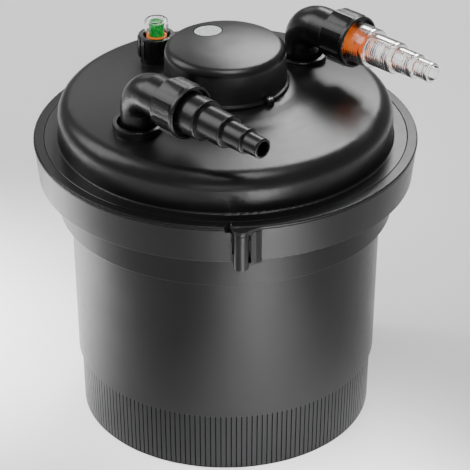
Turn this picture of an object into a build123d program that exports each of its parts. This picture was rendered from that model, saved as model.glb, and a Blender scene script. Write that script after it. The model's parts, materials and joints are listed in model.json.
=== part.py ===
from build123d import *

import os
from math import atan2, cos, degrees, radians, sin, tan

# Pressurized pond filter: ribbed canister, domed lid held by a two-part clamp ring, swivelling
# hose elbows, a cleaning indicator and an ultraviolet head.
# Millimetres, +Z up. The origin is the centre of the base face and -Y is the latch side.

os.makedirs("parts", exist_ok=True)

# ---- driving dimensions ------------------------------------------------------------------

GAP = 0.3                # free space between pieces that move past each other
RUN = 0.05               # radial running clearance of shafts and swivels
WALL = 4.0               # moulded wall of the canister and the lid

# canister
BASE_R = 146.6           # ribbed band at the floor
BAND_R = 148.4           # ribbed band at its top
BAND_TOP = 64.0
BODY_R_LOW = 151.2       # plain wall just above the band
BODY_R_HIGH = 154.7
SKIRT_Z = 225.0          # underside of the wide skirt
SKIRT_R = 166.0
FLOOR = 6.0
RIB_COUNT = 180
RIB_GAP = 1.1
RIB_DEPTH = 1.2

# clamp ring and the two flanges that it grips
RING_TOP = 303.0
RING_HEIGHT = 40.0
RING_R_TOP = 190.0
RING_R_LOW = 185.5
LIP_R = 179.6            # inner edge of the upper lip
LIP_DROP = 4.2           # height and depth of the 45 degree wedge faces
RIM_TOP = 292.0          # canister rim, where the gasket sits
LATCH_ARC = 35.0         # half angle, front and rear, over which the lid rim is cut back
HINGE_R = 199.0          # clamp hinge pin from the filter axis
PIN_R = 3.0
SPLIT_X = 4.6            # front split between the clamp halves

# lid
LID_R = 165.5
LID_SLOPE = 7.0
FLARE_R = 84.0           # where the lid begins to rise more steeply to the head seat
FLARE_Z = 351.5
FLARE_ROUND = 60.0
LID_FLAT_R = 66.0        # flat seat under the ultraviolet head
LID_FLAT_Z = 358.24
SHOULDER = 18.0

# hose ports: place of each vertical axis and compass angle of its arm, both seen from above
FRONT_PORT = (-83.5, -74.0)
FRONT_ANGLE = -46.8
REAR_PORT = (76.5, 73.0)
REAR_ANGLE = -44.4
PORT_TOP = 354.0
PORT_R = 24.5
PORT_BORE = 21.0
ARM_Z = 391.0
LEG_R = 17.0
ARM_R = 20.5
BEND = 25.0

# stepped hose tail: outside radius, bore radius and end of each step along the arm
TAIL_STEPS = [(20.0, 16.6, 97.0), (16.0, 12.8, 128.0), (12.5, 9.6, 153.0), (10.0, 7.5, 172.0)]
NUT_START = 44.0
NUT_END = 76.0
THREAD_END = 60.0

# ultraviolet head
CAP_R = 60.0
CAP_TOP = 402.8
NECK_R = 46.0
NECK_TOP = 372.0
WINDOW_AT = (-17.0, 25.0)
WINDOW_R = 14.0
SCREW_AT = (42.5, -48.5)
LUG_R = 4.6              # round lug that the screw passes through

# cleaning indicator
GLASS_AT = (-68.5, 66.0)
BOSS_TOP = 366.4
GLASS_R = 12.0
GLASS_TOP = 394.8


# ---- helpers -----------------------------------------------------------------------------

def profile(points, plane=Plane.XZ):
    """A closed face through (across, height) points; a third number rounds that corner."""
    corners = [(p[0], p[1]) for p in points]
    rounds = [p[2] if len(p) > 2 else 0 for p in points]
    with BuildSketch(plane) as face:
        with BuildLine():
            FilletPolyline(*corners, radius=rounds, close=True)
        make_face()
    return face.sketch


def turned(points, plane=Plane.XZ, axis=Axis.Z, mode=Mode.ADD):
    """Revolve a closed outline of (radius, height) points in the part being built."""
    revolve(profile(points, plane), axis=axis, mode=mode)


def upright(at):
    """Plane and axis for turning something about a vertical line through a point in plan."""
    plane = Plane(origin=(at[0], at[1], 0), x_dir=(1, 0, 0), z_dir=(0, -1, 0))
    return plane, Axis((at[0], at[1], 0), (0, 0, 1))


def rod(at, radius, low, high, mode=Mode.ADD):
    """A vertical cylinder between two heights."""
    with BuildSketch(Plane.XY.offset(low)) as disc:
        with Locations(at):
            Circle(radius)
    extrude(disc.sketch, amount=high - low, mode=mode)


def block(x_span, y_span, z_span, mode=Mode.ADD):
    """A box between three pairs of limits."""
    with BuildSketch(Plane.XY.offset(z_span[0])) as rectangle:
        with Locations(((x_span[0] + x_span[1]) / 2, (y_span[0] + y_span[1]) / 2)):
            Rectangle(x_span[1] - x_span[0], y_span[1] - y_span[0])
    extrude(rectangle.sketch, amount=z_span[1] - z_span[0], mode=mode)


def slab(points, low, high, mode=Mode.ADD):
    """A flat plate of any outline between two heights."""
    extrude(profile(points, Plane.XY.offset(low)), amount=high - low, mode=mode)


def save(builder, name):
    """Label a finished piece and write its file."""
    builder.part.label = name
    export_step(builder.part, f"parts/{name}.step")


def arm_plane(at, angle):
    """Upright plane along a hose arm: x runs out along the arm from the port axis, y is height."""
    along = (cos(radians(angle)), sin(radians(angle)), 0)
    across = (sin(radians(angle)), -cos(radians(angle)), 0)
    return Plane(origin=(at[0], at[1], 0), x_dir=along, z_dir=across)


def arm_axis(at, angle):
    """Centre line of a hose arm."""
    return Axis((at[0], at[1], ARM_Z), (cos(radians(angle)), sin(radians(angle)), 0))


def along_arm(points, at, angle, mode=Mode.ADD):
    """Turn an outline of (distance along the arm, radius) points about the arm's centre line."""
    raised = [(p[0], ARM_Z + p[1], *p[2:]) for p in points]
    turned(raised, arm_plane(at, angle), arm_axis(at, angle), mode)


# ---- canister ----------------------------------------------------------------------------

WEDGE_R = LIP_R + LIP_DROP
RING_LOW = RING_TOP - RING_HEIGHT
FLANGE_R = WEDGE_R - GAP
LIP_LOW_R = WEDGE_R - 5.3
LIP_LOW_Z = 279.0
RIB_TILT = 1.6
BRACKET = (246.0, RING_LOW - 0.6)

with BuildPart() as canister:
    turned([
        (0, 0), (BASE_R, 0, 1.5), (BAND_R, BAND_TOP), (BODY_R_LOW, BAND_TOP + 0.6),
        (BODY_R_HIGH, SKIRT_Z), (SKIRT_R, SKIRT_Z, 0.8), (SKIRT_R, LIP_LOW_Z + 0.1),
        (FLANGE_R - 5.4, LIP_LOW_Z + 0.1), (FLANGE_R, LIP_LOW_Z + 5.5), (FLANGE_R, RIM_TOP),
        (176, RIM_TOP), (176, RIM_TOP - 3), (168, RIM_TOP - 3), (168, RIM_TOP),
        (SKIRT_R - WALL, RIM_TOP), (SKIRT_R - WALL, SKIRT_Z + WALL),
        (BODY_R_HIGH - WALL, SKIRT_Z + WALL), (BODY_R_LOW - WALL, BAND_TOP),
        (BASE_R - WALL, FLOOR, 4), (0, FLOOR),
    ])
    with PolarLocations((BASE_R + BAND_R) / 2, RIB_COUNT):
        Box(RIB_DEPTH * 2, RIB_GAP, BAND_TOP + 4, rotation=(0, RIB_TILT, 0),
            align=(Align.CENTER, Align.CENTER, Align.MIN), mode=Mode.SUBTRACT)
    slab([(-10, SKIRT_R - 2), (10, SKIRT_R - 2), (10, HINGE_R), (-10, HINGE_R)], *BRACKET)
    rod((0, HINGE_R), 10, *BRACKET)
    rod((0, HINGE_R), PIN_R + RUN, BRACKET[0] + 4, BRACKET[1], Mode.SUBTRACT)
save(canister, "canister")

with BuildPart() as lid_gasket:
    turned([(168.1, RIM_TOP - 2.9), (175.9, RIM_TOP - 2.9), (175.9, RIM_TOP, 0.5),
            (173, RIM_TOP + 0.2, 0.5), (171, RIM_TOP + 0.2, 0.5), (168.1, RIM_TOP, 0.5)])
save(lid_gasket, "lid_gasket")

# ---- media and flow pieces inside the canister -------------------------------------------

TUBE_R = 36.0
GRID_R = 141.0
LEG_TOP = 39.5
BALL_R = 18.0
BALL_LOW = LEG_TOP + 4 + RUN
FOAMS = [("coarse_foam", 76.0, 124.0), ("medium_foam", 124.5, 172.5), ("fine_foam", 173.0, 221.0)]

with BuildPart() as flow_tube:
    turned([(TUBE_R - 3, FLOOR + RUN), (TUBE_R, FLOOR + RUN), (TUBE_R, 326, 1), (TUBE_R - 3, 326, 1)])
    with Locations((0, 0, 20)):
        with PolarLocations(TUBE_R - 2, 8):
            Box(12, 9, 10, mode=Mode.SUBTRACT)
save(flow_tube, "flow_tube")


def grid_disc(radius, low, high):
    """Drilled plate with a centre hole that slips over the flow tube."""
    turned([(TUBE_R + GAP, low), (radius, low, 1), (radius, high, 1), (TUBE_R + GAP, high)])
    with BuildSketch(Plane.XY.offset(low)) as holes:
        for ring_r, count in ((52, 18), (72, 26), (92, 34), (112, 42), (130, 48)):
            with PolarLocations(ring_r, count):
                Circle(5)
    extrude(holes.sketch, amount=high - low, mode=Mode.SUBTRACT)


with BuildPart() as support_grid:
    grid_disc(GRID_R, LEG_TOP, LEG_TOP + 4)
    with BuildSketch(Plane.XY.offset(FLOOR + RUN)) as legs:
        with PolarLocations(102, 6):
            Circle(4.5)
    extrude(legs.sketch, amount=LEG_TOP - FLOOR)
save(support_grid, "support_grid")

with BuildPart() as hold_down_grid:
    grid_disc(GRID_R + 4, FOAMS[-1][2] + 0.5, FOAMS[-1][2] + 4.5)
save(hold_down_grid, "hold_down_grid")

with BuildPart() as bio_balls:
    for ring_r, count in ((58, 9), (99, 15)):
        with BuildPart(mode=Mode.PRIVATE) as ball:
            outline = [(5, 0), (BALL_R * 0.7, 2.4, 3), (BALL_R, 9, 4), (BALL_R, 13, 1), (BALL_R - 6, 14),
                       (BALL_R - 6, 18), (BALL_R, 19, 1), (BALL_R, 23, 4), (BALL_R * 0.7, 30, 3), (5, 32.4)]
            turned([(p[0], BALL_LOW + p[1], *p[2:]) for p in outline])
        with PolarLocations(ring_r, count):
            add(ball.part)
save(bio_balls, "bio_balls")

for foam_name, foam_low, foam_high in FOAMS:
    with BuildPart() as foam:
        turned([(TUBE_R + 0.5, foam_low), (GRID_R + 4, foam_low, 3), (GRID_R + 4, foam_high, 3),
                (TUBE_R + 0.5, foam_high)])
    save(foam, foam_name)

# ---- lid ---------------------------------------------------------------------------------

LID_LOW = RIM_TOP + GAP
CORNER_Z = FLARE_Z - (LID_R - FLARE_R) * tan(radians(LID_SLOPE))
SKIN = WALL / cos(radians(LID_SLOPE))
LIP_GAP = GAP * 2 ** 0.5
RIM_CUT_R = LIP_R - GAP
PORT_LOW = 326.0
SLEEVE_HOLE = 22.0
SCREW_R = 2.0


def lid_port(at):
    """Raised collar, its rolled lip and the bore that an elbow turns in."""
    plane, axis = upright(at)
    turned([(PORT_BORE - 1, PORT_LOW), (PORT_R, PORT_LOW), (PORT_R, PORT_TOP - 3, 0.4),
            (PORT_R + 0.8, PORT_TOP - 2.4, 0.4), (PORT_R + 0.8, PORT_TOP, 0.9),
            (PORT_BORE - 1, PORT_TOP)], plane, axis)


with BuildPart() as lid:
    turned([
        (LID_R - WALL, LID_LOW), (FLANGE_R, LID_LOW), (FLANGE_R, RING_TOP - LIP_DROP - 0.12),
        (LIP_R - LIP_GAP, RING_TOP), (LID_R, RING_TOP, 2), (LID_R, CORNER_Z, SHOULDER),
        (FLARE_R, FLARE_Z, FLARE_ROUND), (LID_FLAT_R, LID_FLAT_Z), (NECK_R, LID_FLAT_Z, 1.5),
        (NECK_R, NECK_TOP, 1),
        (NECK_R - WALL, NECK_TOP, 1), (NECK_R - WALL, 345), (SLEEVE_HOLE, 345),
        (SLEEVE_HOLE, 340), (NECK_R, 340), (NECK_R, LID_FLAT_Z - SKIN),
        (LID_FLAT_R, LID_FLAT_Z - SKIN), (FLARE_R, FLARE_Z - SKIN, FLARE_ROUND),
        (LID_R - WALL, CORNER_Z - SKIN + WALL * tan(radians(LID_SLOPE)), SHOULDER - WALL),
    ])
    for port in (FRONT_PORT, REAR_PORT):
        lid_port(port)
    for port in (FRONT_PORT, REAR_PORT):
        rod(port, PORT_BORE, PORT_LOW - 1, PORT_TOP + 1, Mode.SUBTRACT)
    glass_plane, glass_axis = upright(GLASS_AT)
    turned([(0, 342), (16.5, 342), (16.5, 355.6, 0.5), (14.5, 355.7), (14.5, BOSS_TOP, 0.5),
            (10.2, BOSS_TOP), (10.2, 353), (0, 353)], glass_plane, glass_axis)
    rod(GLASS_AT, 10.2, 353, BOSS_TOP + 1, Mode.SUBTRACT)
    rod(GLASS_AT, 2.0, 335, 354, Mode.SUBTRACT)
    rod(SCREW_AT, 5.5, 343, 356)
    rod(SCREW_AT, SCREW_R + GAP, 347, 360, Mode.SUBTRACT)
    for middle in (90, 270):
        edges = [radians(middle - LATCH_ARC), radians(middle), radians(middle + LATCH_ARC)]
        with BuildSketch(Plane.XY.offset(LID_LOW - 1)) as cut_back:
            Circle(FLANGE_R + 2)
            Circle(RIM_CUT_R, mode=Mode.SUBTRACT)
            with BuildLine():
                Polyline((0, 0), *[(400 * cos(a), 400 * sin(a)) for a in edges], (0, 0))
            make_face(mode=Mode.INTERSECT)
        extrude(cut_back.sketch, amount=LIP_DROP * 3, mode=Mode.SUBTRACT)
save(lid, "lid")

# ---- clamp ring --------------------------------------------------------------------------

BARREL_AT = (14.2, -191.5)
BARREL_R = 7.2
LOBE_R = 8.6
LUG_LOW = RING_TOP - 5.5
LUG_TOP = RING_TOP - 1.0
HINGE_AT = (0, HINGE_R)
KNUCKLE_R = 8.0
KNUCKLES = {"left": [(RING_LOW, 275.0), (291.0, RING_TOP)], "right": [(275.4, 290.6)]}


def clamp_ring():
    """Full ring section with a lip above and below the two flanges."""
    turned([
        (RING_R_LOW, RING_LOW, 0.8), (RING_R_TOP - 0.45, RING_TOP - 4), (RING_R_TOP - 1.1, RING_TOP - 4),
        (RING_R_TOP - 1.1, RING_TOP - 3.3), (RING_R_TOP, RING_TOP - 3.3, 0.5), (RING_R_TOP, RING_TOP, 1.6),
        (LIP_R, RING_TOP, 0.3), (WEDGE_R, RING_TOP - LIP_DROP), (WEDGE_R, LIP_LOW_Z + 5.3),
        (LIP_LOW_R, LIP_LOW_Z), (LIP_LOW_R, LIP_LOW_Z - 4), (LIP_LOW_R + 3, LIP_LOW_Z - 4),
        (LIP_LOW_R + 3, RING_LOW),
    ])


def knuckle(side, low, high):
    """Hinge eye and the short arm that carries it."""
    reach = -12 if side == "left" else 12
    slab([(0, RING_R_LOW + 1), (reach, RING_R_LOW + 0.6), (reach, HINGE_R - 4), (0, HINGE_R)], low, high)
    rod(HINGE_AT, KNUCKLE_R, low, high)


with BuildPart() as clamp_half_left:
    clamp_ring()
    block((SPLIT_X, 260), (-260, 0), (RING_LOW - 1, RING_TOP + 1), Mode.SUBTRACT)
    block((-0.5, 260), (0, 260), (RING_LOW - 1, RING_TOP + 1), Mode.SUBTRACT)
    slab([(-2.4, -RING_R_TOP - 1), (SPLIT_X + 1, -RING_R_TOP - 1), (SPLIT_X + 1, -RING_R_TOP + 8.5)],
         RING_TOP - 6, RING_TOP + 1, Mode.SUBTRACT)
    for span in KNUCKLES["left"]:
        knuckle("left", *span)
    rod(HINGE_AT, PIN_R + RUN, RING_LOW - 1, RING_TOP + 1, Mode.SUBTRACT)
save(clamp_half_left, "clamp_half_left")

with BuildPart() as clamp_half_right:
    clamp_ring()
    block((-260, SPLIT_X + 1), (-260, 0), (RING_LOW - 1, RING_TOP + 1), Mode.SUBTRACT)
    block((-260, 0.5), (0, 260), (RING_LOW - 1, RING_TOP + 1), Mode.SUBTRACT)
    block((SPLIT_X, 23.6), (-205, -182.2), (RING_LOW + 3, LUG_LOW), Mode.SUBTRACT)
    lug = [(SPLIT_X + 1.4, -184), (SPLIT_X + 1.4, BARREL_AT[1]), (34, -186.6), (34, -183)]
    slab([lug[0], lug[1], (BARREL_AT[0], -199.2, 6.5), lug[2], lug[3]], LUG_LOW, LUG_TOP)
    rod(BARREL_AT, BARREL_R + 0.6, LUG_LOW, LUG_TOP)
    slab([lug[0], lug[1], (BARREL_AT[0], -196.4), lug[2], lug[3]], RING_LOW, RING_LOW + 3)
    slab([(23.6, -184), (23.6, -191), (28.4, -191), (33.6, -186.8), (33.6, -184)],
         RING_LOW + 2, LUG_LOW + 1)
    rod(BARREL_AT, LOBE_R + 0.6, RING_LOW + 3, 279, Mode.SUBTRACT)
    rod(BARREL_AT, BARREL_R + RUN, RING_LOW - 1, LUG_LOW, Mode.SUBTRACT)
    rod(BARREL_AT, 2.5 + RUN, LUG_LOW - 1, LUG_TOP - 1, Mode.SUBTRACT)
    for span in KNUCKLES["right"]:
        knuckle("right", *span)
    rod(HINGE_AT, PIN_R + RUN, RING_LOW - 1, RING_TOP + 1, Mode.SUBTRACT)
save(clamp_half_right, "clamp_half_right")

with BuildPart() as clamp_hinge_pin:
    rod(HINGE_AT, PIN_R, BRACKET[0] + 4.05, RING_TOP + 0.5)
    rod(HINGE_AT, PIN_R + 2.5, RING_TOP + 0.5, RING_TOP + 3)
    fillet(clamp_hinge_pin.edges().filter_by(GeomType.CIRCLE).sort_by(Axis.Z)[-1], 1.2)
save(clamp_hinge_pin, "clamp_hinge_pin")

with BuildPart() as latch_barrel:
    rod(BARREL_AT, BARREL_R, RING_LOW - 3.3, LUG_LOW - 0.5)
    fillet(latch_barrel.edges().filter_by(GeomType.CIRCLE), 0.8)
    slab([(BARREL_AT[0], BARREL_AT[1] - 4), (BARREL_AT[0] - LOBE_R, BARREL_AT[1] - 3, 1.5),
          (BARREL_AT[0] - LOBE_R + 0.4, BARREL_AT[1] + 3, 1.5), (BARREL_AT[0], BARREL_AT[1] + 4)], 268, 277)
    rod(BARREL_AT, 2.5, RING_LOW + 8, LUG_LOW, Mode.SUBTRACT)
    block((BARREL_AT[0] - 5, BARREL_AT[0] + 5), (BARREL_AT[1] - 0.8, BARREL_AT[1] + 0.8),
          (RING_LOW - 4, RING_LOW - 1.5), Mode.SUBTRACT)
save(latch_barrel, "latch_barrel")

with BuildPart() as latch_pin:
    rod(BARREL_AT, 2.5, RING_LOW + 8.05, LUG_TOP - 1.3)
save(latch_pin, "latch_pin")

# ---- hose elbows, unions and tails -------------------------------------------------------

SPIGOT_R = PORT_BORE - RUN
SPIGOT_TOP = PORT_TOP - 6.5
CLIP_Z = PORT_LOW - 2.4
SEAL_Z = 337.0
THREAD_R = 22.4
PAD_COUNT = 8


def elbow_piece(at, angle, name):
    """Swivelling elbow: spigot in the lid, bend, and the arm that carries the union thread."""
    plane = arm_plane(at, angle)
    upright_plane, upright_axis = upright(at)
    bend_low = ARM_Z - BEND
    mid_bend = BEND * (1 - cos(radians(45)))
    with BuildPart() as elbow:
        turned([(0, PORT_LOW - 7), (LEG_R + 0.6, PORT_LOW - 7), (LEG_R + 0.6, CLIP_Z - 0.1),
                (LEG_R - 0.6, CLIP_Z - 0.1), (LEG_R - 0.6, CLIP_Z + 1.9), (LEG_R + 0.6, CLIP_Z + 1.9),
                (SPIGOT_R, PORT_LOW + 0.6), (SPIGOT_R, SEAL_Z - 1.8), (SPIGOT_R - 2, SEAL_Z - 1.8),
                (SPIGOT_R - 2, SEAL_Z + 1.8), (SPIGOT_R, SEAL_Z + 1.8), (SPIGOT_R, SPIGOT_TOP, 1.5),
                (LEG_R, SPIGOT_TOP + 1, 1.5), (LEG_R, bend_low), (0, bend_low)],
               upright_plane, upright_axis)
        along_arm([(BEND, 0), (BEND, ARM_R), (NUT_START + 2, ARM_R), (NUT_START + 3, THREAD_R),
                   (THREAD_END, THREAD_R, 0.8), (THREAD_END, 0)], at, angle)
        for inset, cut in ((0.0, Mode.ADD), (3.6, Mode.SUBTRACT)):
            with BuildLine(plane) as curve:
                ThreePointArc((0, bend_low), (mid_bend, ARM_Z - mid_bend), (BEND, ARM_Z))
            path = curve.line
            with BuildSketch(Plane(origin=path @ 0, z_dir=path % 0)) as start:
                Circle(LEG_R - inset * 0.9)
            with BuildSketch(Plane(origin=path @ 1, z_dir=path % 1)) as end:
                Circle(ARM_R - inset)
            sweep([start.sketch, end.sketch], path=path, multisection=True, mode=cut)
        rod(at, LEG_R - 3.24, PORT_LOW - 8, bend_low, Mode.SUBTRACT)
        along_arm([(BEND, 0), (BEND, ARM_R - 3.6), (THREAD_END + 1, ARM_R - 3.6), (THREAD_END + 1, 0)],
                  at, angle, Mode.SUBTRACT)
    save(elbow, name)


def elbow_seal(at, name):
    """O-ring in the spigot groove."""
    plane, axis = upright(at)
    with BuildPart() as seal:
        turned([(SPIGOT_R - 1.95, SEAL_Z - 1.1, 0.7), (SPIGOT_R - 0.05, SEAL_Z - 1.1, 0.7),
                (SPIGOT_R - 0.05, SEAL_Z + 1.1, 0.7), (SPIGOT_R - 1.95, SEAL_Z + 1.1, 0.7)], plane, axis)
    save(seal, name)


def elbow_clip(at, name):
    """Split ring that keeps the spigot in its collar."""
    with BuildPart() as clip:
        with BuildSketch(Plane.XY.offset(CLIP_Z)) as ring:
            with Locations(at):
                Circle(LEG_R + 6)
                Circle(LEG_R - 0.5, mode=Mode.SUBTRACT)
            with Locations((at[0], at[1] + LEG_R + 2)):
                Rectangle(9, 14, mode=Mode.SUBTRACT)
        extrude(ring.sketch, amount=1.8)
    save(clip, name)


def union_nut(at, angle, name):
    """Coupling nut with ramped grip pads, a front rim and a deep front recess."""
    with BuildPart() as nut:
        along_arm([(NUT_START, 24.6, 1), (NUT_END - 6, 24.6), (NUT_END - 5, 26.2, 0.6), (NUT_END, 26.2, 1.4),
                   (NUT_END, 24), (NUT_END - 6, 23.6), (NUT_END - 6, TAIL_STEPS[0][0] + 0.4),
                   (NUT_END - 10, TAIL_STEPS[0][0] + 0.4), (NUT_END - 10, THREAD_R + 0.5),
                   (NUT_START, THREAD_R + 0.5)], at, angle)
        centre_line = arm_axis(at, angle)
        base = Plane(origin=centre_line.position, x_dir=(0, 0, 1), z_dir=centre_line.direction)
        for pad in range(PAD_COUNT):
            turn = pad * 360 / PAD_COUNT + 11
            low, high = radians(turn), radians(turn + 26)
            with BuildSketch(base.offset(NUT_START + 3)) as wedge:
                with BuildLine():
                    Polyline((23.4 * cos(low), 23.4 * sin(low)), (27.0 * cos(low), 27.0 * sin(low)),
                             (26.3 * cos((low + high) / 2), 26.3 * sin((low + high) / 2)),
                             (24.7 * cos(high), 24.7 * sin(high)), (23.4 * cos(high), 23.4 * sin(high)),
                             close=True)
                make_face()
            extrude(wedge.sketch, amount=NUT_END - NUT_START - 8.5)
    save(nut, name)


def hose_tail(at, angle, name):
    """Stepped tail whose flange the nut pulls against the gasket."""
    flange_low, flange_high = THREAD_END + 2.5, THREAD_END + 5.7
    outer = [(flange_low, 22.0, 0.5), (flange_high, 22.0, 0.5)]
    inner = [(flange_low, TAIL_STEPS[0][1])]
    last_end = flange_high
    for index, (out_r, bore_r, step_end) in enumerate(TAIL_STEPS):
        outer += [(last_end, out_r, 0.4 if index else 0), (step_end, out_r, 1.6)]
        inner += [(step_end - 2.5, bore_r, 0.5), (step_end - 0.5, TAIL_STEPS[min(index + 1, 3)][1], 0.5)]
        last_end = step_end
    inner = inner[:-2] + [(TAIL_STEPS[3][2], TAIL_STEPS[3][1])]
    with BuildPart() as tail:
        along_arm(outer + inner[::-1], at, angle)
    save(tail, name)


def tail_gasket(at, angle, name):
    """Flat gasket with a lip that reaches into the tail's bore."""
    bore_r = TAIL_STEPS[0][1]
    with BuildPart() as gasket:
        along_arm([(THREAD_END + 0.3, bore_r - 2.6, 0.5), (THREAD_END + 20, bore_r - 2.0, 0.5),
                   (THREAD_END + 20, bore_r - 0.3, 0.5), (THREAD_END + 2.3, bore_r - 0.2),
                   (THREAD_END + 2.3, 21.8), (THREAD_END + 0.3, 21.8)], at, angle)
    save(gasket, name)


elbow_piece(FRONT_PORT, FRONT_ANGLE, "front_elbow")
elbow_piece(REAR_PORT, REAR_ANGLE, "rear_elbow")
elbow_seal(FRONT_PORT, "front_elbow_seal")
elbow_seal(REAR_PORT, "rear_elbow_seal")
elbow_clip(FRONT_PORT, "front_elbow_clip")
elbow_clip(REAR_PORT, "rear_elbow_clip")
union_nut(FRONT_PORT, FRONT_ANGLE, "front_union_nut")
union_nut(REAR_PORT, REAR_ANGLE, "rear_union_nut")
hose_tail(FRONT_PORT, FRONT_ANGLE, "front_hose_tail")
hose_tail(REAR_PORT, REAR_ANGLE, "clear_hose_tail")
tail_gasket(FRONT_PORT, FRONT_ANGLE, "front_tail_gasket")
tail_gasket(REAR_PORT, REAR_ANGLE, "orange_tail_gasket")

# ---- ultraviolet head --------------------------------------------------------------------

CAP_LOW = LID_FLAT_Z + GAP
CAP_DOME = [(59.6, 398.0, 9), (40, 401.2, 200), (16, CAP_TOP, 250), (0, CAP_TOP)]
GLAND_Z = 372.0
HOLDER_Z = NECK_TOP + 0.6

with BuildPart() as uv_cap:
    turned([
        (CAP_R - 3, CAP_LOW), (CAP_R + 3, CAP_LOW, 0.5), (CAP_R + 3, CAP_LOW + 3, 0.8),
        (CAP_R + 0.2, CAP_LOW + 3.8, 0.5), *CAP_DOME, (0, CAP_TOP - 3), (16, CAP_TOP - 3, 250),
        (40, 398.2, 200), (CAP_R - 3.2, 395.2, 6),
    ])
    with BuildSketch(Plane.XY.offset(CAP_LOW)) as lug:
        with Locations(Location(SCREW_AT, degrees(atan2(SCREW_AT[1], SCREW_AT[0])))):
            Circle(LUG_R)
            Rectangle(7, 2 * LUG_R, align=(Align.MAX, Align.CENTER))
    extrude(lug.sketch, amount=5)
    rod((0, 0), CAP_R - 3.4, CAP_LOW - 1, CAP_LOW + 6, Mode.SUBTRACT)
    rod(SCREW_AT, SCREW_R + 0.2, CAP_LOW - 1, CAP_LOW + 6, Mode.SUBTRACT)
    rod(WINDOW_AT, WINDOW_R + 0.15, 390, CAP_TOP + 1, Mode.SUBTRACT)
    with BuildSketch(Plane.XZ.offset(-CAP_R - 4)) as gland_hole:
        with Locations((0, GLAND_Z)):
            Circle(6.1)
    extrude(gland_hole.sketch, amount=12, mode=Mode.SUBTRACT)
save(uv_cap, "uv_cap")

with BuildPart() as uv_window:
    turned([(0, 380), (CAP_DOME[0][0], 380), *[(p[0], p[1] - 0.25, *p[2:]) for p in CAP_DOME]])
    rod((0, 0), CAP_R, 379, 396.5, Mode.SUBTRACT)
    rod(WINDOW_AT, WINDOW_R, 390, CAP_TOP + 1, Mode.INTERSECT)
save(uv_window, "uv_window")

PLUG_R = NECK_R - WALL - GAP

with BuildPart() as uv_holder:
    turned([(24, HOLDER_Z), (PLUG_R - 3.2, HOLDER_Z), (PLUG_R - 3.2, 357), (PLUG_R, 357, 0.5),
            (PLUG_R, 361), (PLUG_R - 1.9, 361), (PLUG_R - 1.9, 364), (PLUG_R, 364), (PLUG_R, HOLDER_Z),
            (CAP_R - 3.6, HOLDER_Z), (CAP_R - 3.6, HOLDER_Z + 3, 0.5), (24, HOLDER_Z + 3)])
    block((-9, 9), (48, 60), (HOLDER_Z - 1, HOLDER_Z + 4), Mode.SUBTRACT)
save(uv_holder, "uv_holder")

with BuildPart() as uv_head_seal:
    turned([(NECK_R - WALL - 2.15, 361.3, 0.8), (NECK_R - WALL - RUN, 361.3, 0.8),
            (NECK_R - WALL - RUN, 363.7, 0.8), (NECK_R - WALL - 2.15, 363.7, 0.8)])
save(uv_head_seal, "uv_head_seal")

with BuildPart() as uv_screw:
    rod(SCREW_AT, SCREW_R, 349, CAP_LOW + 5.2)
    rod(SCREW_AT, 3.4, CAP_LOW + 5.2, CAP_LOW + 7.8)
    fillet(uv_screw.edges().filter_by(GeomType.CIRCLE).sort_by(Axis.Z)[-1], 1.1)
    for turn in (0, 90):
        with BuildSketch(Plane.XY.offset(CAP_LOW + 6.6)) as slot:
            with Locations(Location((SCREW_AT[0], SCREW_AT[1]), turn)):
                Rectangle(3.6, 0.8)
        extrude(slot.sketch, amount=3, mode=Mode.SUBTRACT)
save(uv_screw, "uv_screw")

with BuildPart() as ballast:
    block((-26, 26), (-48, -28), (HOLDER_Z + 3.05, HOLDER_Z + 19))
    fillet(ballast.edges().filter_by(Axis.Z), 3)
save(ballast, "ballast")

with BuildPart() as lamp_socket:
    turned([(0, 358), (12, 358), (12, HOLDER_Z - 1), (23.9, HOLDER_Z - 1, 0.5), (23.9, HOLDER_Z + 8, 1),
            (0, HOLDER_Z + 8)])
    with BuildSketch(Plane.XY.offset(357)) as pins:
        with PolarLocations(4, 4, start_angle=45):
            Circle(1.2)
    extrude(pins.sketch, amount=7, mode=Mode.SUBTRACT)
save(lamp_socket, "lamp_socket")

with BuildPart() as uv_lamp:
    rod((0, 0), 11.0, 336, 357.95)
    for side in (-5.6, 5.6):
        rod((side, 0), 4.6, 96, 336)
    block((-5.6, 5.6), (-3, 3), (98, 105))
    with BuildSketch(Plane.XY.offset(357.95)) as prongs:
        with PolarLocations(4, 4, start_angle=45):
            Circle(1.15)
    extrude(prongs.sketch, amount=5.5)
save(uv_lamp, "uv_lamp")

with BuildPart() as quartz_sleeve:
    turned([(0, 72), (16, 72, 14), (16, 351, 0.5), (14.4, 351, 0.5), (14.4, 73.6, 12.4), (0, 73.6)])
save(quartz_sleeve, "quartz_sleeve")

with BuildPart() as sleeve_seal:
    turned([(16.05, 340.2, 1), (SLEEVE_HOLE - RUN, 340.2, 1), (SLEEVE_HOLE - RUN, 345, 1),
            (16.05, 345, 1)])
save(sleeve_seal, "sleeve_seal")

with BuildPart() as sleeve_nut:
    with BuildSketch(Plane.XY.offset(345.1)) as hexagon:
        RegularPolygon(29, 6)
        Circle(17, mode=Mode.SUBTRACT)
    extrude(hexagon.sketch, amount=8)
save(sleeve_nut, "sleeve_nut")

with BuildPart() as cable_gland:
    gland_plane = Plane.YZ
    gland_axis = Axis((0, 0, GLAND_Z), (0, 1, 0))
    turned([(50, GLAND_Z + 3.5), (50, GLAND_Z + 8), (55.6, GLAND_Z + 8), (55.6, GLAND_Z + 6),
            (60.6, GLAND_Z + 6), (60.6, GLAND_Z + 8.6, 0.5), (66, GLAND_Z + 8.6, 0.5),
            (66, GLAND_Z + 7.8), (78, GLAND_Z + 7.4, 3), (82, GLAND_Z + 4.4, 1), (82, GLAND_Z + 3.5)],
           gland_plane, gland_axis)
save(cable_gland, "cable_gland")

# ---- cleaning indicator ------------------------------------------------------------------

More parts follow.
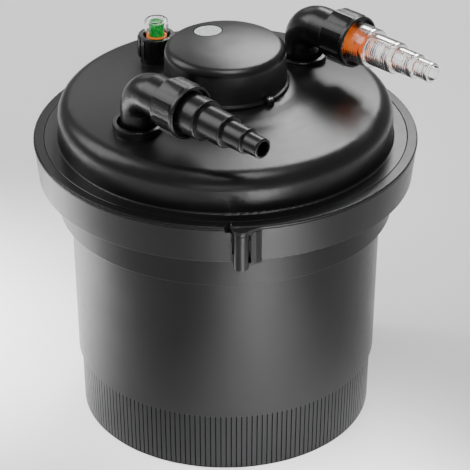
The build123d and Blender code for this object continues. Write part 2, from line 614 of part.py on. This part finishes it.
GLASS_FLANGE = BOSS_TOP + 0.2
NUT_LOW = 356.0
NUT_TOP = 378.4
NUT_RIBS = 16
FLOAT_LOW = 373.0
FLOAT_TOP = GLASS_TOP - 3.7

with BuildPart() as sight_glass:
    turned([(GLASS_R - 1.6, GLASS_FLANGE), (14.2, GLASS_FLANGE), (14.2, GLASS_FLANGE + 3, 0.4),
            (GLASS_R, GLASS_FLANGE + 3, 0.4), (GLASS_R, GLASS_TOP, 3.2), (0, GLASS_TOP),
            (0, GLASS_TOP - 2), (GLASS_R - 1.6, GLASS_TOP - 2, 2)], glass_plane, glass_axis)
save(sight_glass, "sight_glass")

with BuildPart() as sight_glass_seal:
    turned([(7.95, NUT_TOP - 2.6, 0.9), (GLASS_R - 1.65, NUT_TOP - 2.6, 0.9),
            (GLASS_R - 1.65, NUT_TOP - 0.2, 0.9), (7.95, NUT_TOP - 0.2, 0.9)], glass_plane, glass_axis)
save(sight_glass_seal, "sight_glass_seal")

with BuildPart() as sight_glass_nut:
    turned([(14.9, NUT_LOW), (18.2, NUT_LOW, 0.6), (18.2, NUT_TOP, 1.2), (GLASS_R + 1.6, NUT_TOP, 0.6),
            (GLASS_R + 0.6, NUT_TOP - 2), (GLASS_R + 0.6, GLASS_FLANGE + 3.3), (14.9, GLASS_FLANGE + 3.3)],
           glass_plane, glass_axis)
    with BuildSketch(Plane.XY.offset(NUT_LOW + 0.8)) as ribs:
        with Locations(GLASS_AT):
            with PolarLocations(17.9, NUT_RIBS):
                Rectangle(2.4, 3.6)
    extrude(ribs.sketch, amount=NUT_TOP - NUT_LOW - 2.6)
save(sight_glass_nut, "sight_glass_nut")

with BuildPart() as indicator_float:
    turned([(0, FLOAT_LOW - 8), (2.8, FLOAT_LOW - 8, 0.5), (2.8, FLOAT_LOW), (7.5, FLOAT_LOW, 0.8),
            (7.5, FLOAT_TOP, 0.8), (5.2, FLOAT_TOP), (5.2, FLOAT_TOP - 0.6), (0, FLOAT_TOP - 0.6)],
           glass_plane, glass_axis)
save(indicator_float, "indicator_float")

with BuildPart() as indicator_spring:
    with BuildLine(Plane(origin=(GLASS_AT[0], GLASS_AT[1], 354.2))) as coil:
        Helix(pitch=3.0, height=18.0, radius=5.6)
    with BuildSketch(Plane(origin=coil.line @ 0, z_dir=coil.line % 0)) as wire:
        Circle(0.6)
    sweep(wire.sketch, path=coil.line)
save(indicator_spring, "indicator_spring")
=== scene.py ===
import json
import math

import bpy
import numpy as np
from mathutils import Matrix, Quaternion, Vector


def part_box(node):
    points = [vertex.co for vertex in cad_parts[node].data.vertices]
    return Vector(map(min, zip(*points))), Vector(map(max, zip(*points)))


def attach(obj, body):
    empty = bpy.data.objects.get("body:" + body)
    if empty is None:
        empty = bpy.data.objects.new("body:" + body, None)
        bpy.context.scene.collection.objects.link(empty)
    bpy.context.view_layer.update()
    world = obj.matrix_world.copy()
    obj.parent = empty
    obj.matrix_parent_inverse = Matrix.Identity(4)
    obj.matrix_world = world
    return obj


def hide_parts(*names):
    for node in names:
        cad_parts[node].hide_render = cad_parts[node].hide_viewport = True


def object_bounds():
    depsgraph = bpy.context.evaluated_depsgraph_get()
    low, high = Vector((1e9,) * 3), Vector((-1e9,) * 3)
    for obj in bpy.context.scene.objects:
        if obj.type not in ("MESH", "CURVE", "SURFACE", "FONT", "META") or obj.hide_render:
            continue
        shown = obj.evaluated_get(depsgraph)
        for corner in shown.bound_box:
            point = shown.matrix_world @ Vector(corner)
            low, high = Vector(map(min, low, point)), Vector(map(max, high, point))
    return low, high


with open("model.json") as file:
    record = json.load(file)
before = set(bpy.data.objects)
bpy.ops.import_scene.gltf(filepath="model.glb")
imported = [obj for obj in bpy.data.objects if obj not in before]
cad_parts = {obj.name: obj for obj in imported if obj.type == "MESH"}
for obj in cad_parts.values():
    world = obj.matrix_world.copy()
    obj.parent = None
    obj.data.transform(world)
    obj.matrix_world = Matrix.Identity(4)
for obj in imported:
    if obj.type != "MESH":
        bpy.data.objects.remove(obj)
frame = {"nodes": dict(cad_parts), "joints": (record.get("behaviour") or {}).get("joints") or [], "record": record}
nodes = frame["nodes"]
cad_low, cad_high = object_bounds()

MM = 0.001

# foot band of the canister: wall radius at the floor and at the band's top, then height and groove depth
FOOT_RADIUS = 146.6 * MM
BAND_TOP_RADIUS = 148.4 * MM
BAND_HEIGHT = 64 * MM
GROOVE_DEPTH = 0.3 * MM

# clear hose tail, in millimetres: flange, then the radius, bore and far end of each step; the inset keeps
# the ridged tail just inside the plain solid that it replaces
FLANGE_RADIUS = 21.9
FLANGE_LOW = 62.5
FLANGE_HIGH = 65.7
TAIL_STEPS = [(20.0, 16.6, 97.0), (16.0, 12.8, 128.0), (12.5, 9.6, 153.0), (10.0, 7.5, 172.0)]
TAIL_INSET = 0.02
RING_SPACING = 2.3
RING_HEIGHT = 0.35
RING_RAMP = 0.35
RING_CREST = 0.4

# dark and light tone of a moulded plastic, and the roughness of its smoothest and dullest spots
CHARCOAL_TONES = (0.006, 0.006, 0.0065), (0.009, 0.009, 0.0095)
GREY_TONES = (0.13, 0.135, 0.145), (0.2, 0.205, 0.215)
MEDIA_TONES = (0.02, 0.07, 0.2), (0.04, 0.13, 0.32)
SEMI_GLOSS = 0.29, 0.33
WHITE = (1.0, 1.0, 1.0, 1)

# ---- node materials ----------------------------------------------------------------------


def grey(level):
    return (level, level, level)


class Mat:
    """A node material with one principled shader and short helpers for its inputs."""

    def __init__(self, name):
        self.material = bpy.data.materials.new(name)
        self.material.use_nodes = True
        self.tree = self.material.node_tree
        self.shader = self.tree.nodes["Principled BSDF"]
        self.coords = self.tree.nodes.new("ShaderNodeTexCoord")

    def set(self, **values):
        for name, value in values.items():
            self.shader.inputs[name.replace("_", " ")].default_value = value

    def node(self, kind, **values):
        made = self.tree.nodes.new(kind)
        for name, value in values.items():
            made.inputs[name.replace("_", " ")].default_value = value
        return made

    def link(self, source, target):
        self.tree.links.new(source, target)

    def feed(self, **sources):
        """Link node outputs to the shader's inputs."""
        for name, source in sources.items():
            self.link(source, self.shader.inputs[name.replace("_", " ")])

    def placed(self, stretch=(1, 1, 1)):
        """Object coordinates, stretched for brushed or streaked patterns."""
        mapping = self.node("ShaderNodeMapping")
        mapping.inputs["Scale"].default_value = stretch
        self.link(self.coords.outputs["Object"], mapping.inputs["Vector"])
        return mapping.outputs["Vector"]

    def noise(self, scale, detail=3.0, stretch=(1, 1, 1), distortion=0.0):
        made = self.node("ShaderNodeTexNoise", Scale=scale, Detail=detail, Distortion=distortion)
        self.link(self.placed(stretch), made.inputs["Vector"])
        return made.outputs["Fac"]

    def cells(self, scale):
        made = self.node("ShaderNodeTexVoronoi", Scale=scale)
        self.link(self.placed(), made.inputs["Vector"])
        return made.outputs["Distance"]

    def between(self, fac, low, high, start=0.3, end=0.7):
        """A number that runs from low to high as fac runs from start to end."""
        made = self.node("ShaderNodeMapRange", From_Min=start, From_Max=end, To_Min=low, To_Max=high)
        self.link(fac, made.inputs["Value"])
        return made.outputs["Result"]

    def colours(self, fac, *stops):
        """A colour ramp through (position, colour) stops."""
        ramp = self.tree.nodes.new("ShaderNodeValToRGB")
        while len(ramp.color_ramp.elements) < len(stops):
            ramp.color_ramp.elements.new(0.5)
        for element, (place, colour) in zip(ramp.color_ramp.elements, stops):
            element.position = place
            element.color = (*colour, 1)
        self.link(fac, ramp.inputs["Fac"])
        return ramp.outputs["Color"]

    def bump(self, height, strength, distance, below=None):
        """One bump layer over the normal below it, if there is one."""
        made = self.node("ShaderNodeBump", Strength=strength, Distance=distance)
        self.link(height, made.inputs["Height"])
        if below is not None:
            self.link(below, made.inputs["Normal"])
        return made.outputs["Normal"]

    def rounded(self, radius):
        """Normals that soften the edges, for use under the bump layers."""
        made = self.node("ShaderNodeBevel", Radius=radius)
        made.samples = 4
        return made.outputs["Normal"]


def plastic(name, tones, gloss, grain=0.06, edge=0.4 * MM, wave=0.04, specular=0.5):
    """Moulded plastic: slow tone change, uneven gloss, a fine moulded grain and faint sink marks."""
    dark, light = tones
    mat = Mat(name)
    mat.feed(Base_Color=mat.colours(mat.noise(7, 2), (0.3, dark), (0.7, light)))
    mat.feed(Roughness=mat.between(mat.noise(130, 3), *gloss))
    mat.set(Specular_IOR_Level=specular)
    grained = mat.bump(mat.noise(1500, 2), grain, 0.06 * MM, mat.rounded(edge))
    mat.feed(Normal=mat.bump(mat.noise(22, 1), wave, 1.2 * MM, grained))
    return mat.material


def rubber(name, dark, light, roughness=0.6, specular=0.5):
    """Dull moulded rubber with a fine, slightly chalky surface."""
    mat = Mat(name)
    mat.set(Specular_IOR_Level=specular)
    mat.feed(Base_Color=mat.colours(mat.noise(60, 4), (0.35, dark), (0.65, light)))
    mat.feed(Roughness=mat.between(mat.noise(200, 2), roughness - 0.1, roughness + 0.1))
    mat.feed(Normal=mat.bump(mat.noise(900, 3), 0.25, 0.1 * MM))
    return mat.material


def clear(name, tint, roughness, ior=1.46, ripple=0.05):
    """Clear moulding or glass with faint flow lines in the surface."""
    mat = Mat(name)
    mat.feed(Base_Color=mat.colours(mat.noise(30, 2), (0.3, tint), (0.7, grey(1))))
    mat.feed(Roughness=mat.between(mat.noise(90, 3), roughness * 0.5, roughness * 1.5))
    mat.set(Transmission_Weight=1.0, IOR=ior)
    mat.feed(Normal=mat.bump(mat.noise(55, 2), ripple, 0.6 * MM))
    return mat.material


def metal(name, dark, light, roughness, stretch=(1, 1, 24)):
    """Brushed metal, with its marks running across the axis that stretch scales up."""
    mat = Mat(name)
    brushed = mat.noise(160, 4, stretch)
    mat.feed(Base_Color=mat.colours(brushed, (0.3, dark), (0.7, light)))
    mat.feed(Roughness=mat.between(brushed, roughness - 0.06, roughness + 0.1))
    mat.set(Metallic=1.0)
    mat.feed(Normal=mat.bump(brushed, 0.12, 0.1 * MM))
    return mat.material


def foam(name, dark, light, scale):
    """Open-cell filter foam: pores whose bottoms are darkened with painted shade."""
    mat = Mat(name)
    pores = mat.cells(scale)
    # painted shade: the base colour darkens towards each pore's sunken centre
    mat.feed(Base_Color=mat.colours(pores, (0.15, dark), (0.62, light)))
    mat.set(Roughness=0.95, Specular_IOR_Level=0.15)
    pitted = mat.bump(pores, 0.9, 1.4 / scale)
    mat.feed(Normal=mat.bump(mat.noise(scale * 0.6, 3), 0.5, 0.8 / scale, pitted))
    return mat.material


def paint_groove_shade(material, wall_specular, groove_specular, added_roughness):
    """Painted shade in the upright grooves of the foot band: dark, dull floors."""
    tree = material.node_tree
    shader = tree.nodes["Principled BSDF"]

    def math_node(kind, *values):
        made = tree.nodes.new("ShaderNodeMath")
        made.operation = kind
        for socket, value in zip(made.inputs, values):
            if isinstance(value, float):
                socket.default_value = value
            else:
                tree.links.new(value, socket)
        return made.outputs["Value"]

    coords = tree.nodes.new("ShaderNodeTexCoord").outputs["Object"]
    split = tree.nodes.new("ShaderNodeSeparateXYZ")
    tree.links.new(coords, split.inputs["Vector"])
    x, y, z = (split.outputs[name] for name in "XYZ")
    radius = math_node("SQRT", math_node("ADD", math_node("MULTIPLY", x, x), math_node("MULTIPLY", y, y)))
    slope = (BAND_TOP_RADIUS - FOOT_RADIUS) / BAND_HEIGHT
    wall = math_node("ADD", math_node("MULTIPLY", z, slope), FOOT_RADIUS)
    groove_floor = math_node("SUBTRACT", wall, GROOVE_DEPTH)
    about_half = GROOVE_DEPTH * 0.55
    groove_shade_mask = math_node("COMPARE", radius, groove_floor, about_half)

    lost_shine = math_node("MULTIPLY", groove_shade_mask, wall_specular - groove_specular)
    tree.links.new(math_node("SUBTRACT", wall_specular, lost_shine), shader.inputs["Specular IOR Level"])

    roughness = shader.inputs["Roughness"]
    dulled = math_node("ADD", roughness.links[0].from_socket, math_node("MULTIPLY", groove_shade_mask, added_roughness))
    colour = shader.inputs["Base Color"]
    mix = tree.nodes.new("ShaderNodeMix")
    mix.data_type = "RGBA"
    tree.links.new(groove_shade_mask, mix.inputs["Factor"])
    tree.links.new(colour.links[0].from_socket, mix.inputs["A"])
    # painted shade: the groove floors are mixed to near black
    mix.inputs["B"].default_value = (*grey(0.001), 1)
    tree.links.new(mix.outputs["Result"], colour)
    tree.links.new(dulled, roughness)


def orange_seal():
    """Warm silicone that lets some light through, with a painted orange glow from its emission."""
    mat = Mat("orange_rubber")
    mat.feed(Base_Color=mat.colours(mat.noise(70, 4), (0.3, (0.62, 0.13, 0.015)), (0.7, (0.85, 0.24, 0.04))))
    mat.feed(Roughness=mat.between(mat.noise(150, 2), 0.3, 0.45))
    # painted glow: the emission makes the seal shine though it is no lamp
    mat.set(Subsurface_Weight=0.25, Subsurface_Scale=3 * MM, Emission_Strength=0.55)
    glow = mat.noise(90, 3)
    mat.feed(Emission_Color=mat.colours(glow, (0.3, (0.75, 0.13, 0.01)), (0.7, (1.0, 0.24, 0.03))))
    mat.feed(Normal=mat.bump(mat.noise(500, 3), 0.2, 0.2 * MM))
    return mat.material


def float_green():
    """Green float with paler swirls and a painted green glow from its emission."""
    mat = Mat("green_plastic")
    swirl = mat.noise(120, 3, (1, 1, 0.6), 2.5)
    mat.feed(Base_Color=mat.colours(swirl, (0.4, (0.0, 0.2, 0.02)), (0.56, (0.0, 0.36, 0.04)),
                                    (0.72, (0.1, 0.6, 0.16))))
    mat.feed(Roughness=mat.between(swirl, 0.25, 0.4))
    # painted glow: the emission makes the float shine though it is no lamp
    mat.set(Subsurface_Weight=0.2, Subsurface_Scale=2 * MM, Emission_Strength=0.25)
    mat.feed(Emission_Color=mat.colours(swirl, (0.4, (0.0, 0.45, 0.05)), (0.72, (0.06, 0.75, 0.12))))
    mat.feed(Normal=mat.bump(swirl, 0.3, 0.6 * MM))
    return mat.material


def frosted():
    """Window insert, evenly frosted with a fine sparkle."""
    mat = Mat("frosted_window")
    sparkle = mat.noise(240, 4)
    mat.feed(Base_Color=mat.colours(sparkle, (0.35, (0.52, 0.53, 0.54)), (0.65, (0.66, 0.67, 0.68))))
    mat.feed(Roughness=mat.between(mat.noise(500, 2), 0.42, 0.6))
    mat.set(Subsurface_Weight=0.15, Subsurface_Scale=2 * MM)
    mat.feed(Normal=mat.bump(mat.noise(1400, 2), 0.35, 0.1 * MM))
    return mat.material


def ceramic():
    """Glazed lamp socket with fine speckle."""
    mat = Mat("white_ceramic")
    mat.feed(Base_Color=mat.colours(mat.noise(320, 5), (0.3, (0.6, 0.59, 0.56)), (0.5, (0.8, 0.79, 0.76))))
    mat.feed(Roughness=mat.between(mat.noise(60, 2), 0.12, 0.25))
    mat.feed(Normal=mat.bump(mat.noise(300, 2), 0.1, 0.2 * MM))
    return mat.material


def lamp():
    """Lamp glass with milky streaks along its tubes."""
    mat = Mat("lamp_glass")
    streaks = mat.noise(40, 3, (1, 1, 0.3))
    mat.feed(Base_Color=mat.colours(streaks, (0.3, (0.72, 0.74, 0.76)), (0.7, (0.92, 0.94, 0.97))))
    mat.feed(Roughness=mat.between(mat.noise(140, 2), 0.05, 0.14))
    mat.set(Transmission_Weight=0.6, IOR=1.5)
    mat.feed(Normal=mat.bump(mat.noise(80, 2), 0.06, 0.4 * MM))
    return mat.material


canister_plastic = plastic("canister_plastic", CHARCOAL_TONES, SEMI_GLOSS)
# the canister's finish gets painted shade in its foot-band grooves
paint_groove_shade(canister_plastic, wall_specular=0.26, groove_specular=0.04, added_roughness=0.35)
clear_plastic = clear("clear_plastic", (0.96, 0.97, 0.98), 0.1, ior=1.3)
# near-black, low-shine finish used as painted shade in the gap round the window insert
gap_shade_black = rubber("gap_shade_black", grey(0.001), grey(0.003), roughness=0.75, specular=0.1)

SLOT_MATERIALS = {
    "body_plastic": plastic("body_plastic", CHARCOAL_TONES, SEMI_GLOSS, specular=0.3),
    "lid_plastic": plastic("lid_plastic", (grey(0.005), grey(0.008)), SEMI_GLOSS),
    "fitting_plastic": plastic("fitting_plastic", (grey(0.004), grey(0.007)), (0.27, 0.3),
                               grain=0.025, edge=0.25 * MM, wave=0.01),
    "grey_plastic": plastic("grey_plastic", GREY_TONES, (0.4, 0.5), grain=0.3),
    "media_plastic": plastic("media_plastic", MEDIA_TONES, (0.42, 0.55), grain=0.3),
    "black_rubber": rubber("black_rubber", grey(0.012), grey(0.03)),
    "orange_rubber": orange_seal(),
    "green_plastic": float_green(),
    "clear_plastic": clear_plastic,
    "frosted_window": frosted(),
    "quartz": clear("quartz", (0.97, 0.98, 1.0), 0.02),
    "lamp_glass": lamp(),
    "white_ceramic": ceramic(),
    "stainless": metal("stainless", (0.55, 0.55, 0.54), (0.8, 0.8, 0.78), 0.22),
    "ballast_metal": metal("ballast_metal", (0.4, 0.41, 0.42), (0.6, 0.61, 0.62), 0.38, stretch=(24, 1, 1)),
    "blue_foam": foam("blue_foam", (0.004, 0.02, 0.07), (0.03, 0.13, 0.34), 330),
    "red_foam": foam("red_foam", (0.06, 0.006, 0.005), (0.42, 0.05, 0.035), 470),
    "pale_foam": foam("pale_foam", (0.22, 0.19, 0.1), (0.75, 0.7, 0.5), 640),
}

# every CAD node takes the finish of its record slot, and the canister its own with painted shade in the grooves
for entry in frame["record"]["subparts"]:
    finish = canister_plastic if entry["node"] == "canister" else SLOT_MATERIALS[entry["material_slot"]]
    slots = nodes[entry["node"]].data.materials
    slots.clear()
    slots.append(finish)

# ---- smooth shading ----------------------------------------------------------------------


def soften(piece, angle=28.0):
    """Smooth shading that breaks only at real edges."""
    piece.data.shade_smooth()
    weld = piece.modifiers.new("weld", "WELD")
    weld.merge_threshold = 0.005 * MM
    split = piece.modifiers.new("split", "EDGE_SPLIT")
    split.split_angle = math.radians(angle)
    even = piece.modifiers.new("even", "WEIGHTED_NORMAL")
    even.weight = 50


for part in nodes.values():
    soften(part)

# ---- added pieces ------------------------------------------------------------------------


def lathe(name, outline, origin, axis, material, body, turns=96):
    """A turned ring from a closed outline of (along the axis, radius) points in millimetres."""
    across = axis.orthogonal().normalized()
    third = axis.cross(across)
    points = []
    faces = []
    count = len(outline)
    for step in range(turns):
        angle = 2 * math.pi * step / turns
        outward = across * math.cos(angle) + third * math.sin(angle)
        points += [origin + axis * (along * MM) + outward * (radius * MM) for along, radius in outline]
        here = step * count
        after = (step + 1) % turns * count
        for low_point in range(count):
            high_point = (low_point + 1) % count
            faces.append((here + low_point, here + high_point, after + high_point, after + low_point))
    mesh = bpy.data.meshes.new(name)
    mesh.from_pydata(points, [], faces)
    mesh.materials.append(material)
    made = bpy.data.objects.new(name, mesh)
    bpy.context.scene.collection.objects.link(made)
    soften(made, 40)
    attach(made, body)
    return made


def joint(name):
    return next(entry for entry in frame["joints"] if entry["name"] == name)


def step_outside(start, end, radius):
    """One hose step: fine moulded rings along it, then a barb with a rounded lip at its far end."""
    low = radius - RING_HEIGHT
    high = radius - TAIL_INSET
    outline = [(start + 0.2, low)]
    ring = start + 1.2
    while ring < end - 6:
        crest = ring + RING_RAMP
        crest_end = crest + RING_CREST
        outline += [(ring, low), (crest, high), (crest_end, high), (crest_end + RING_RAMP, low)]
        ring += RING_SPACING
    outline += [(end - 5, radius - 0.3), (end - 4, high), (end - 1.5, high)]
    outline += [(end - 0.7, low), (end - 0.2, radius - 0.95), (end - TAIL_INSET, radius - 1.8)]
    return outline


def ridged_tail():
    """Clear stepped tail with the fine moulded rings that the plain solid leaves out."""
    turn = joint("rear_nut_turn")
    axis = Vector(turn["axis"]).normalized()
    port = joint("rear_elbow_swivel")["pos_m"]
    origin = Vector((port[0], port[1], turn["pos_m"][2]))
    outer = [(FLANGE_LOW, FLANGE_RADIUS), (FLANGE_HIGH, FLANGE_RADIUS)]
    inner = [(FLANGE_LOW, TAIL_STEPS[0][1])]
    start = FLANGE_HIGH
    for radius, _, end in TAIL_STEPS:
        outer += step_outside(start, end, radius)
        start = end
    for (_, bore, end), (_, next_bore, _) in zip(TAIL_STEPS, TAIL_STEPS[1:]):
        inner += [(end - 2.6, bore), (end - 1.9, bore - 0.3), (end - 0.6, next_bore + 0.1)]
    _, last_bore, last_end = TAIL_STEPS[-1]
    inner.append((last_end - TAIL_INSET, last_bore))
    piece = lathe("clear_tail_ridged", outer + inner[::-1], origin, axis, clear_plastic, "rear_tail")
    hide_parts("clear_hose_tail")


def window_gap_shade():
    """Thin dark ring of painted shade in the gap round the window insert, tilted with the crown of the cap."""
    window_low, window_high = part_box("uv_window")
    points = np.array([v.co for v in nodes["uv_window"].data.vertices])
    top = points[points[:, 2] > window_low.z + 0.6 * (window_high.z - window_low.z)]
    middle = top.mean(axis=0)
    normal = np.linalg.svd(top - middle)[2][2]
    axis = Vector(normal if normal[2] > 0 else -normal)
    radius = (window_high.x - window_low.x) / 2 / MM
    centre_line = (window_low + window_high) / 2
    origin = Vector((centre_line.x, centre_line.y, middle[2]))
    sunk = -1.6
    proud = 0.4
    inside = radius - 0.5
    outside = radius + 0.5
    outline = [(sunk, inside), (proud - 0.15, inside), (proud, inside + 0.2)]
    outline += [(proud, outside), (sunk, outside)]
    piece = lathe("window_gap_shade", outline, origin, axis, gap_shade_black, "uv_head")


ridged_tail()
window_gap_shade()

# ---- stage: azimuth 0 is the camera's side of the filter and 90 is +X ----------------------

centre = (cad_low + cad_high) / 2


def horizontal(azimuth):
    return Vector((math.sin(math.radians(azimuth)), -math.cos(math.radians(azimuth)), 0))


def raised(azimuth, elevation):
    tilt = math.radians(elevation)
    return horizontal(azimuth) * math.cos(tilt) + Vector((0, 0, math.sin(tilt)))


def placed_light(name, kind, power):
    data = bpy.data.lights.new(name, kind)
    data.energy = power
    made = bpy.data.objects.new(name, data)
    bpy.context.scene.collection.objects.link(made)
    return made


def softbox(name, azimuth, elevation, distance, size, power, roll=0):
    """A soft light that faces the filter; a roll leans the top of one behind it towards +X."""
    box = placed_light(name, "AREA", power)
    box.data.shape = "RECTANGLE"
    box.data.size, box.data.size_y = size
    away = raised(azimuth, elevation)
    box.location = centre + away * distance
    upright = (-away).to_track_quat("-Z", "Y")
    box.rotation_euler = (upright @ Quaternion((0, 0, 1), math.radians(roll))).to_euler()


def floor_pool(name, azimuth, reach_out, elevation, power, cone, distance=1.5, softness=0.16):
    """A soft spot that brightens the floor beside the filter, seen as a stripe in its wall."""
    spot = placed_light(name, "SPOT", power)
    spot.data.spot_size = math.radians(cone)
    spot.data.spot_blend = 1.0
    spot.data.shadow_soft_size = softness
    lit_spot = horizontal(azimuth) * reach_out
    spot.location = lit_spot + raised(azimuth, elevation) * distance
    spot.rotation_euler = (lit_spot - spot.location).to_track_quat("-Z", "Y").to_euler()


softbox("key_right", azimuth=165, elevation=44, distance=2.7, size=(0.9, 1.7), power=46, roll=22)
softbox("key_left", azimuth=-104, elevation=38, distance=2.5, size=(1.3, 1.6), power=25)
softbox("front_top", azimuth=20, elevation=72, distance=2.4, size=(0.9, 1.3), power=24)
softbox("back_left", azimuth=-160, elevation=28, distance=2.7, size=(1.0, 0.9), power=2.5)
softbox("front_fill", azimuth=-4, elevation=10, distance=2.6, size=(1.6, 0.7), power=5)

floor_pool("pool_front", azimuth=20, reach_out=0.6, elevation=30, power=2900, cone=14.5)
floor_pool("pool_left", azimuth=-104, reach_out=0.52, elevation=36, power=980, cone=22)
floor_pool("pool_right", azimuth=160, reach_out=0.34, elevation=30, power=60, cone=16)

world = bpy.data.worlds.new("studio")
bpy.context.scene.world = world
world.use_nodes = True
sky = world.node_tree.nodes["Background"]
sky.inputs["Color"].default_value = WHITE
sky.inputs["Strength"].default_value = 0.25


def paper_floor(reach=12.0, gap=0.2 * MM):
    """A wide sheet of pale paper, just under the filter."""
    paper = Mat("paper")
    paper.feed(Base_Color=paper.colours(paper.noise(3, 2), (0.3, grey(0.86)), (0.7, grey(0.9))))
    paper.set(Roughness=0.9, Specular_IOR_Level=0.1)
    mesh = bpy.data.meshes.new("floor")
    corners = [(-reach, -reach, 0), (reach, -reach, 0), (reach, reach, 0), (-reach, reach, 0)]
    mesh.from_pydata(corners, [], [(0, 1, 2, 3)])
    mesh.materials.append(paper.material)
    floor = bpy.data.objects.new("floor", mesh)
    floor.location.z = cad_low.z - gap
    bpy.context.scene.collection.objects.link(floor)


paper_floor()

# ---- camera ------------------------------------------------------------------------------

camera_data = bpy.data.cameras.new("camera")
camera_data.lens = 211.12
camera_data.sensor_width = 36
camera = bpy.data.objects.new("camera", camera_data)
camera.location = (0, -2.4094, 1.5862)
camera.rotation_euler = (math.radians(59.81), 0, math.radians(-0.223))
bpy.context.scene.collection.objects.link(camera)
bpy.context.scene.camera = camera
